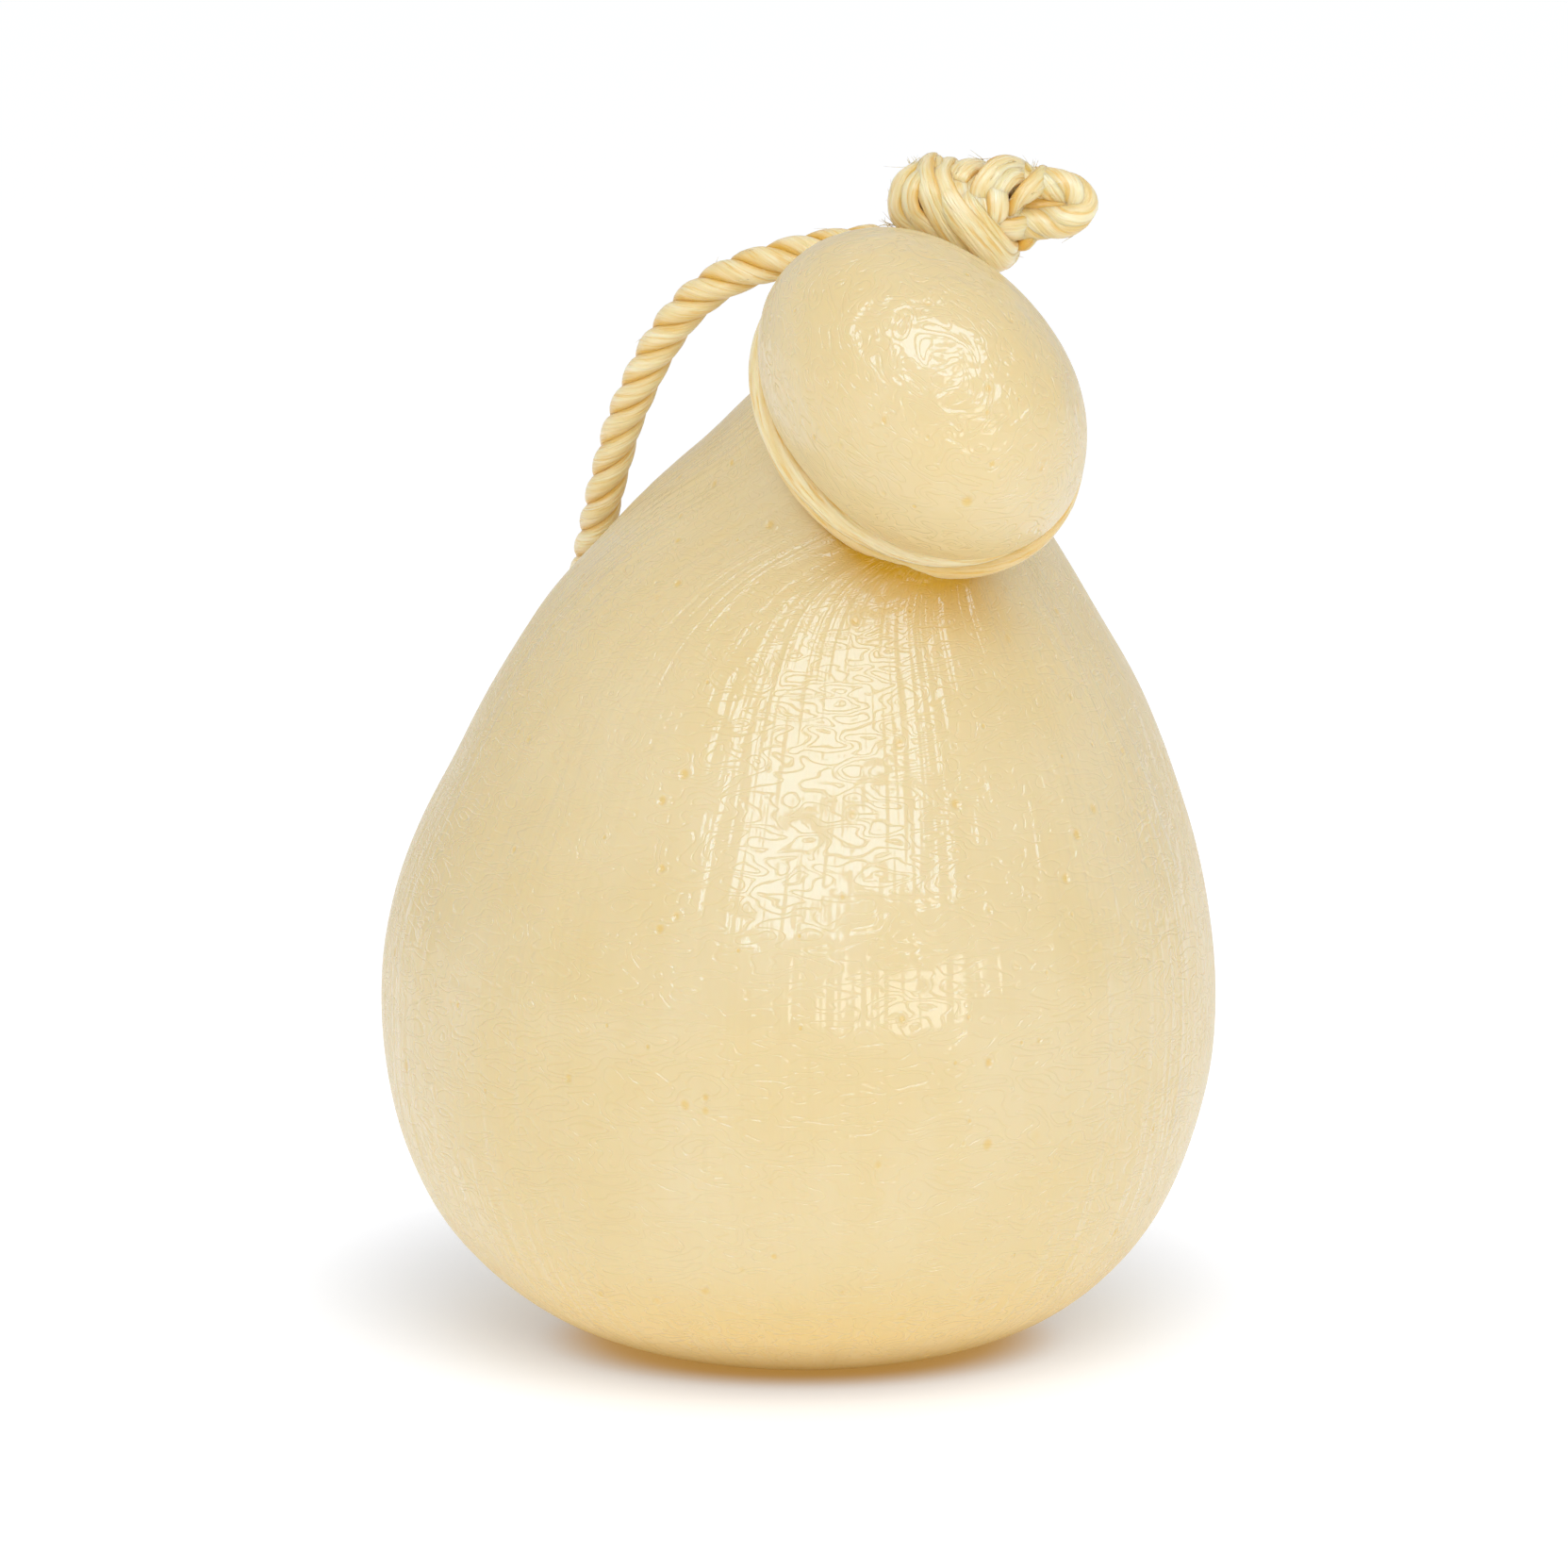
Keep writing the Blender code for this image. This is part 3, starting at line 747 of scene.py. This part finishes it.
def head_section(distance):
    neck = station_section(len(STATIONS) - 1)
    upright = math.pi / 2 - HEAD_RISE
    axis = np.array(
        (
            math.sin(HEAD_HEADING) * math.sin(upright),
            -math.cos(HEAD_HEADING) * math.sin(upright),
            math.cos(upright),
        )
    )
    share = min(distance / HEAD_CENTRE, 1.0)
    along = min(max((distance - HEAD_CENTRE) / HEAD_DEPTH, -1.0), 1.0)
    size = math.sqrt(1 - along**2)
    return section(
        *(neck[:3] + axis * distance),
        neck[3] + (upright - neck[3]) * share,
        HEAD_HEADING,
        HEAD_RADIUS * size,
        HEAD_RADIUS * size,
        HEAD_SKEW * size,
    )


def oval(sections, angles, grow=0.0):
    """Points of the sections' ovals: one row a section, one column an angle."""
    x, y, z, tilt, heading, wide, deep, skew = (sections[:, k, None] for k in range(8))
    cosine, sine = np.cos(angles)[None], np.sin(angles)[None]
    across = (wide + grow) * cosine + skew * sine
    along = skew * cosine + (deep + grow) * sine
    return np.stack(
        [
            x + np.cos(heading) * across - np.sin(heading) * np.cos(tilt) * along,
            y + np.sin(heading) * across + np.cos(heading) * np.cos(tilt) * along,
            z + np.sin(tilt) * along,
        ],
        axis=-1,
    )


def meridian_lengths(sections):
    """How far each section is from the base, along the surface, in the mean of four sides."""
    sides = oval(sections, np.arange(4) * math.pi / 2)
    steps = np.linalg.norm(np.diff(sides, axis=0), axis=2).mean(axis=1)
    return np.concatenate([[0], np.cumsum(steps)])


def coarse_sections():
    """The loft's sections, how far along the surface they are, and where base and neck are."""
    flat = [section(0, 0, 0, wide=r, deep=r) for r in np.linspace(0.0005, FLAT_RADIUS, 24)[:-1]]
    belly = [belly_section(height) for height in np.linspace(0, 1, 160) ** 1.8 * BELLY_TOP]
    keys = [belly_section(BELLY_TOP - 0.006), belly_section(BELLY_TOP)]
    keys += [station_section(number) for number in range(len(STATIONS))]
    keys.append(head_section(HEAD_CENTRE / 2))
    shoulder = curve_pieces(keys)
    turns = np.linspace(0, math.pi / 2, 90)[:-1]
    head = [head_section(d) for d in np.linspace(0, HEAD_CENTRE, 30)[:-1]]
    head += [head_section(HEAD_CENTRE + HEAD_DEPTH * math.sin(turn)) for turn in turns]
    neck = station_section(len(STATIONS) - 1)
    coarse = np.vstack([flat, belly[:-1], *shoulder, neck, head[1:]])
    places = meridian_lengths(coarse)
    neck_place = places[len(flat) + len(belly) - 1 + sum(map(len, shoulder))]
    return coarse, places, places[len(flat)], neck_place


def cheese_sections():
    """The sections smoothed and spread along the surface, their places, and the neck's."""
    coarse, places, base_place, neck_place = coarse_sections()
    tip_place = places[-1]
    even = np.arange(0, tip_place, FORM_STEP)
    fine = resampled(coarse, places, even)
    reach = round(3 * FORM_SMOOTHING / FORM_STEP)
    window = np.exp(-0.5 * (np.arange(-reach, reach + 1) * FORM_STEP / FORM_SMOOTHING) ** 2)
    window /= window.sum()
    padded = np.pad(fine, ((reach, reach), (0, 0)), mode="edge")
    blurred = np.stack([np.convolve(column, window, "valid") for column in padded.T], axis=1)
    inner = np.clip((even - base_place - SMOOTHING_START) / SMOOTHING_FADE, 0, 1)
    inner *= np.clip((tip_place - SMOOTHING_START - even) / SMOOTHING_FADE, 0, 1)
    near_neck = 1 - NECK_KEPT * np.exp(-(((even - neck_place) / NECK_KEPT_REACH) ** 2))
    weight = (inner * near_neck)[:, None]
    fine = fine * (1 - weight) + blurred * weight

    density = 1 + NECK_ROW_DENSITY * np.exp(-(((even - neck_place) / NECK_ROW_REACH) ** 2))
    spread = np.concatenate([[0], np.cumsum(density[1:])])
    wanted = np.interp(np.linspace(0, spread[-1], CHEESE_ROWS), spread, even)
    return resampled(fine, even, wanted), wanted, neck_place


def ring_centreline(count):
    """The tie's centreline, an oval round the neck."""
    neck = station_section(len(STATIONS) - 1)[None]
    angles = np.linspace(0, 2 * math.pi, count, endpoint=False)
    return oval(neck, angles, RING_GROWTH)[0]


def nearest_on_tie(points):
    """The tie's nearest middle point to each point, and the ring's own middle."""
    ring = ring_centreline(RING_SEARCH_POINTS)
    tree = kdtree.KDTree(len(ring))
    for number, place in enumerate(ring):
        tree.insert(place, number)
    tree.balance()
    return ring[[tree.find(point)[1] for point in points]], ring.mean(axis=0)


def pressed_off_tie(points):
    """Points moved clear of the tie, away from a line a little outside it.

    That line keeps each point on its own side of the tie.
    """
    centre, middle = nearest_on_tie(points)
    outward = unit(centre - middle)
    away = points - centre - outward * RING_SIDE
    length = np.linalg.norm(away, axis=1, keepdims=True)
    away /= length
    lean = (away * outward).sum(axis=1, keepdims=True) * RING_SIDE
    reach = np.sqrt(lean**2 + RING_PRESS**2 - RING_SIDE**2) - lean
    pressed = reach + RING_SOFTNESS * np.log1p(np.exp((length - reach) / RING_SOFTNESS))
    return centre + outward * RING_SIDE + away * pressed


def grid_normals(points):
    around = np.roll(points, -1, axis=1) - np.roll(points, 1, axis=1)
    along = np.gradient(points, axis=0)
    normals = np.cross(around, along)
    return normals / np.maximum(np.linalg.norm(normals, axis=2, keepdims=True), 1e-12)


def rind_directions(sections, place, angles, neck_place):
    """What the skin's patterns follow: the flow round the form, and the curd's grain."""
    angle = np.broadcast_to(angles[None], place.shape)
    on_head = eased(place, neck_place - HEAD_EDGE, neck_place + HEAD_EDGE)
    breadth = np.where(place > neck_place, sections[:, 5, None], GRAIN_RADIUS)
    round_x, round_y = breadth * np.cos(angle), breadth * np.sin(angle)
    flow = np.stack([round_x, round_y, place], axis=-1)
    across = 1 - HEAD_SQUEEZE * on_head
    along = BODY_GRAIN + (1 - BODY_GRAIN) * on_head
    swirl = place + HEAD_SWIRL * round_x * on_head
    return flow, np.stack([round_x * across, round_y * across, swirl * along], axis=-1)


def made_uneven(points, grain, place, neck_place):
    """The form's points moved by the curd's lumps, folds and pleats, above its still bottom."""
    gathered = np.exp(-np.maximum(neck_place - place, 0) / PLEAT_REACH) * (place < neck_place)
    pleated = PLEAT_LEAST + (1 - PLEAT_LEAST) * eased(points[..., 0], *PLEAT_RIGHT)
    lumps = LUMP_HEIGHT * wave(points, LUMP_CELL)
    lumps += SMALL_LUMP_HEIGHT * wave(points + 0.3, SMALL_LUMP_CELL)
    folds = (FOLD_HEIGHT + PLEAT_HEIGHT * gathered * pleated) * wave(grain, FOLD_CELL)
    folds += FINE_FOLD_HEIGHT * wave(grain + 0.7, FINE_FOLD_CELL)
    for middle, reach, rise in SWELLS:
        away = np.linalg.norm(points - np.array(middle), axis=2) / reach
        lumps += rise * np.exp(-(away**2))
    standing = eased(points[..., 2], 0.0, STILL_HEIGHT)
    points = points + grid_normals(points) * ((lumps + folds) * standing)[..., None]
    points[..., 2] = np.maximum(points[..., 2], 0.0)
    return points


def painted_rind_shade(points, place, neck_place):
    """How much golden shade is painted at each point, along the tie and below the head."""
    rows = points.reshape(-1, 3)
    to_tie = np.linalg.norm(rows - nearest_on_tie(rows)[0], axis=1).reshape(place.shape)
    below = to_tie - RING_PRESS
    under_head = HEAD_SHADE * eased(-points[..., 1], *HEAD_SHADE_FRONT)
    under_head *= eased(points[..., 0], *HEAD_SHADE_RIGHT)
    painted_shade = CREASE_SHADE * np.exp(-np.maximum(below, 0) / CREASE_REACH)
    painted_shade += under_head * np.exp(-((below / HEAD_SHADE_REACH) ** 2))
    return np.clip(painted_shade * (place < neck_place + SHADE_EDGE), 0, 1)


def add_cheese(look):
    sections, places, neck_place = cheese_sections()
    angles = np.linspace(0, 2 * math.pi, CHEESE_COLUMNS, endpoint=False)
    points = oval(sections, angles)
    place = np.broadcast_to(places[:, None], points.shape[:2])
    flow, grain = rind_directions(sections, place, angles, neck_place)
    points = made_uneven(points, grain, place, neck_place)
    close = np.abs(places - neck_place) < RING_REACH
    near = points[close]
    points[close] = pressed_off_tie(near.reshape(-1, 3)).reshape(near.shape)
    # The golden shade painted along the tie and below the head.
    painted_shade = painted_rind_shade(points, place, neck_place)

    rows, count = points.reshape(-1, 3), CHEESE_COLUMNS
    faces = tube_faces(0, len(points), count)
    base, tip, last = len(rows), len(rows) + 1, len(rows) - count
    faces += [(base, (i + 1) % count, i) for i in range(count)]
    faces += [(tip, last + i, last + (i + 1) % count) for i in range(count)]
    ends = np.array((points[0].mean(axis=0), points[-1].mean(axis=0)))

    def with_ends(values):
        flat = values.reshape(len(rows), -1) if values.ndim == 3 else values.reshape(-1)
        return np.concatenate([flat, [flat[0]], [flat[-1]]])

    made = add_mesh(
        "cheese_rind",
        np.vstack([rows, ends]),
        faces,
        look,
        (
            ("flow", with_ends(flow)),
            ("grain", with_ends(grain)),
            ("painted_shade", with_ends(painted_shade)),
        ),
    )
    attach(made, "root")
    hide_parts("cheese")
    return made


# The rope.


def carried_frames(points, up):
    """Two side directions of a line, carried along it without twist."""
    forward = directions(points)
    side = np.cross(forward[0], up)
    side /= np.linalg.norm(side)
    sides = []
    for direction in forward:
        side = side - direction * (side @ direction)
        side /= np.linalg.norm(side)
        sides.append(side)
    sides = np.array(sides)
    return sides, np.cross(forward, sides)


class Bundle:
    """Strands gathered into one mesh, with what the rope's material reads at each point."""

    def __init__(self):
        self.points, self.faces, self.fibre, self.deep, self.lines = [], [], [], [], []
        self.count = 0

    def gather(self, points, fibre, deep):
        self.points.append(points)
        self.fibre.append(fibre)
        self.deep.append(deep)
        self.count += len(points)

    def add(self, line, side, out, half_width, half_height, turns, seed, deep):
        """One strand: a ridged tube round a line, wide along side and high along out."""
        self.lines.append((line, out, float(half_height)))
        around = np.linspace(0, 2 * math.pi, STRAND_SIDES, endpoint=False)
        travelled = lengths_along(line)[:, None]
        twisted = around[None] + turns * travelled
        fibre = np.stack(
            [
                FIBRE_RADIUS * np.cos(twisted) + seed * FIBRE_SHIFTS[0],
                FIBRE_RADIUS * np.sin(twisted),
                np.broadcast_to(travelled * FIBRE_STRETCH, twisted.shape) + seed * FIBRE_SHIFTS[1],
            ],
            axis=-1,
        )
        ridges = 1 + RIDGE_HEIGHT * wave(fibre, RIDGE_CELL)
        ridges += RIDGE_HEIGHT * wave(fibre + 0.5, FINE_RIDGE_CELL)
        rows = len(line)
        ends = np.minimum(np.arange(rows), np.arange(rows)[::-1])
        size = np.sqrt(np.clip((ends + 0.6) / 4, 0, 1))[:, None] * ridges
        wide = np.asarray(half_width).reshape(-1, 1) * size * np.cos(around)
        high = np.asarray(half_height).reshape(-1, 1) * size * np.sin(around)
        points = line[:, None] + side[:, None] * wide[..., None] + out[:, None] * high[..., None]
        first, last = self.count, self.count + (rows - 1) * STRAND_SIDES
        self.faces += tube_faces(first, rows, STRAND_SIDES)
        self.faces.append(tuple(first + i for i in reversed(range(STRAND_SIDES))))
        self.faces.append(tuple(last + i for i in range(STRAND_SIDES)))
        # The amber shade painted on the strand.
        shade = np.clip(deep(points, around), 0, 1).reshape(-1)
        self.gather(points.reshape(-1, 3), fibre.reshape(-1, 3), shade)

    def add_hair(self, line, radius):
        """A thin three-sided fibre that tapers to its tip."""
        side, out = carried_frames(line, (0.3, 0.5, 0.8))
        around = np.arange(3) * 2 * math.pi / 3
        size = (radius * np.linspace(1, HAIR_TIP, len(line)))[:, None, None]
        ring = np.cos(around)[None, :, None] * side[:, None]
        ring = ring + np.sin(around)[None, :, None] * out[:, None]
        points = (line[:, None] + ring * size).reshape(-1, 3)
        self.faces += tube_faces(self.count, len(line), 3)
        self.faces.append((self.count + 2, self.count + 1, self.count))
        self.faces.append(tuple(self.count + len(points) - 3 + i for i in range(3)))
        self.gather(points, points, np.zeros(len(points)))

    def piece(self, name, look):
        made = add_mesh(
            name,
            np.vstack(self.points),
            self.faces,
            look,
            (("fibre", np.vstack(self.fibre)), ("deep", np.concatenate(self.deep))),
        )
        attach(made, "root")
        return made


def add_laid_rope(
    bundle, centreline, side, out, lay, phase, offset, half_width, half_height, seed, core=0.76
):
    """Three strands laid to the right round a centreline, each flattened against the others."""
    outer = offset + half_height
    travelled = lengths_along(centreline)

    # Painted shade: amber deep in the grooves between the strands, and on one flank of each.
    def deep(points, around):
        reach = np.linalg.norm(points - centreline[:, None], axis=2)
        flank = FLANK_SHADE * eased(-np.cos(around)[None], 0.0, 0.95)
        return 1 - eased(reach, outer * core, outer * (core + GROOVE_DEPTH)) + flank

    for strand in range(3):
        turn = phase + 2 * math.pi * strand / 3 + 2 * math.pi * travelled / lay
        outward = side * np.cos(turn)[:, None] + out * np.sin(turn)[:, None]
        line = centreline + outward * offset
        sideways = unit(np.cross(directions(line), outward))
        bundle.add(
            line, sideways, outward, half_width, half_height, LAID_TWIST, seed + strand, deep
        )


def add_hanging_rope(look):
    centreline = smooth_points(ROPE_ROUTE, ROPE_STEP)
    bundle = Bundle()
    line = centreline.copy()
    to_exit = np.linalg.norm(line - line[0], axis=1)
    line[:, 2] -= EXIT_DIP * (1 - eased(to_exit, *EXIT_REACH))
    side, out = carried_frames(line, (0, 1, 0))
    add_laid_rope(bundle, line, side, out, ROPE_LAY, ROPE_PHASE, **ROPE_STRANDS)
    made = bundle.piece("rope_strands", look)
    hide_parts("hanging_rope")
    return bundle


def add_ring(bundle):
    """The turn round the neck, whose strands start and end at the top, under the knot."""
    ring = ring_centreline(RING_POINTS)
    ring = np.roll(ring, -int(np.argmax(ring[:, 2])), axis=0)
    ring = np.vstack([ring, ring[:1]])
    forward = np.gradient(ring, axis=0)
    forward[0] = forward[-1] = ring[1] - ring[-2]
    forward = unit(forward)
    outward = square_to(ring - ring.mean(axis=0), forward)
    headward = np.cross(forward, outward)
    headward *= -np.sign(headward[:, 1].sum())
    length = np.linalg.norm(np.diff(ring, axis=0), axis=1).sum()
    phase = RING_TURN - math.pi * length / RING_LAY
    add_laid_rope(bundle, ring, outward, headward, RING_LAY, phase, **RING_STRANDS)


def add_eye(bundle):
    eye = smooth_points(EYE_ROUTE, STRAND_STEP)
    side, out = carried_frames(eye, (0, 1, 0))
    add_laid_rope(bundle, eye, side, out, EYE_LAY, EYE_PHASE, **EYE_STRANDS)


def at_the_back(point):
    """A point of the knot's front, brought to its back."""
    x, y, z = point
    return x + BACK_SHIFT[0], 2 * KNOT_MIDDLE.y + BACK_SHIFT[1] - y, z + BACK_SHIFT[2]


def knot_shade(inside):
    """The painted shade that makes a knot's strand amber: its underside, and all of it where it is
    inside.
    """

    def deep(points, around):
        facing = np.sin(around)[None] + np.zeros(points.shape[:2])
        return np.maximum(UNDERSIDE_SHADE * (1 - eased(facing, 0.0, 0.8)), CORE_SHADE * inside)

    return deep


def add_knot(bundle):
    wraps = list(KNOT_STRANDS.values())
    wraps += [(wide, high, tuple(map(at_the_back, route))) for wide, high, route in wraps]
    wraps += KNOT_ROOTS
    outer = len(wraps)
    wraps += KNOT_CORE
    for number, (half_width, half_height, route) in enumerate(wraps):
        line = smooth_points(route, STRAND_STEP)
        forward = directions(line)
        out = square_to(line - np.array(KNOT_MIDDLE), forward)
        side = np.cross(forward, out)
        bundle.add(
            line, side, out, half_width * STRAND_SPREAD, half_height, KNOT_TWIST,
            KNOT_SEED + number, knot_shade(number >= outer),
        )


def add_tie(look):
    """The turn round the neck, the knot and its eye."""
    bundle = Bundle()
    add_ring(bundle)
    add_eye(bundle)
    add_knot(bundle)
    made = bundle.piece("tie_strands", look)
    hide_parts("rope_tie")
    return bundle


def add_hairs(tie, rope, look):
    """Loose fibres that stand off the strands, most of them at the knot, and its frayed spots."""
    rng = random.Random(RANDOM_SEED)
    hairs = Bundle()
    starts = []
    for bundle, count in ((tie, TIE_HAIRS), (rope, ROPE_HAIRS)):
        for _ in range(count):
            line, out, height = rng.choice(bundle.lines)
            i = rng.randrange(HAIR_MARGIN, len(line) - HAIR_MARGIN - 1)
            ahead = (line[i + HAIR_MARGIN] - line[i - HAIR_MARGIN]) * rng.choice((-1, 1))
            ahead /= np.linalg.norm(ahead)
            direction = ahead + out[i] * rng.uniform(*HAIR_LIFTS)
            starts.append((line[i] + out[i] * height, direction, rng.uniform(*HAIR_LENGTHS)))
    for place, direction, count, length in FRAYS:
        for _ in range(count):
            shake = np.array([rng.uniform(-1, 1) for _ in range(6)])
            start = np.array(place) + shake[:3] * FRAY_SPREAD
            shaken = np.array(direction) + shake[3:] * FRAY_SHAKE
            starts.append((start, shaken, length * rng.uniform(*FRAY_LENGTHS)))
    for start, direction, length in starts:
        direction = direction / np.linalg.norm(direction)
        bend = np.array([rng.uniform(-1, 1) for _ in range(3)]) * rng.uniform(*HAIR_BENDS)
        share = np.linspace(0, 1, HAIR_POINTS)[:, None]
        line = start + direction * length * share + bend * length * share**2
        hairs.add_hair(line, rng.uniform(*HAIR_RADII))
    hairs.piece("loose_fibres", look)


# The floor, the lights and the world.


def add_floor():
    bpy.ops.mesh.primitive_plane_add(size=FLOOR_SIZE, location=(0, 0, FLOOR_HEIGHT))
    floor = bpy.context.object
    floor.name = "floor"
    look = Look("floor")
    place = look.place()
    # The floor's glow is painted light: dimmed into a shadow round the cheese, and golden under it.
    off_shade = look.fit(look.distance(place, SHADE_MIDDLE), *SHADE_REACH, SHADE_LIGHT, 1.0)
    off_cheese = look.fit(look.distance(look.scaled(place, GLOW_STRETCH)), *GLOW_REACH)
    look.set(
        Base_Color=FLOOR_COLOUR,
        Roughness=1.0,
        Specular_IOR_Level=0.0,
        Emission_Color=look.mix(off_cheese, GLOW_GOLD, look.mix(off_shade, BLACK, WHITE)),
        Emission_Strength=FLOOR_LIGHT,
    )
    floor.data.materials.append(look.material)


def add_light(name, azimuth, elevation, distance, width, height, power, seen_by, colour):
    """A soft panel that faces the cheese. Azimuth 0 is at the camera, and right is positive."""
    data = bpy.data.lights.new(name, "AREA")
    data.shape = "RECTANGLE"
    data.size, data.size_y = width, height
    data.energy = power
    data.color = colour
    light = bpy.data.objects.new(name, data)
    a, e = math.radians(azimuth), math.radians(elevation)
    towards = Vector((math.sin(a) * math.cos(e), -math.cos(a) * math.cos(e), math.sin(e)))
    light.location = LIGHT_AIM + towards * distance
    light.rotation_mode = "QUATERNION"
    light.rotation_quaternion = towards.to_track_quat("Z", "Y")
    light.visible_diffuse = seen_by != "gloss"
    light.visible_glossy = seen_by != "diffuse"
    bpy.context.scene.collection.objects.link(light)


def add_world():
    world = bpy.data.worlds.new("studio")
    world.use_nodes = True
    background = world.node_tree.nodes["Background"]
    background.inputs["Color"].default_value = (*WHITE, 1.0)
    background.inputs["Strength"].default_value = WORLD_STRENGTH
    bpy.context.scene.world = world
    bpy.context.scene.view_settings.view_transform = "Standard"


add_camera()
rope_look = rope_material()
cheese_look = cheese_material()
hanging = add_hanging_rope(rope_look)
tie = add_tie(rope_look)
add_hairs(tie, hanging, rope_look)
add_cheese(cheese_look)
add_floor()
for light_values in LIGHTS:
    add_light(*light_values)
add_world()

bpy.context.view_layer.update()
